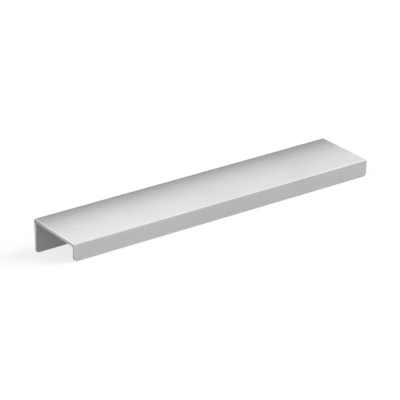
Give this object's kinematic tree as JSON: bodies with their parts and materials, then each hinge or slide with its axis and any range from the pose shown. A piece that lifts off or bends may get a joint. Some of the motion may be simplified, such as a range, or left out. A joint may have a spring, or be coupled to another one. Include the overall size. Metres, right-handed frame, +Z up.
{
  "type": "edge pull",
  "caption": "Channel-section edge pull in satin anodised aluminium: a flat plate over the edge of a cabinet front, a deep screw flange behind and a shallow grip lip before it.",
  "frame": {"origin": "on the floor, under the middle of the bounding box of the pull as it lies unfastened", "axes": "+X along the pull, +Y from the grip lip back to the screw flange, +Z up; the plate leans 14.7 degrees about X, lip side down, so that lip and flange both touch the floor"},
  "size_m": [0.2, 0.0426, 0.0195],
  "materials": {
    "anodised_aluminium": "satin silver anodised"
  },
  "bodies": {
    "root": {"edge_pull": "anodised_aluminium"}
  },
  "joints": []
}
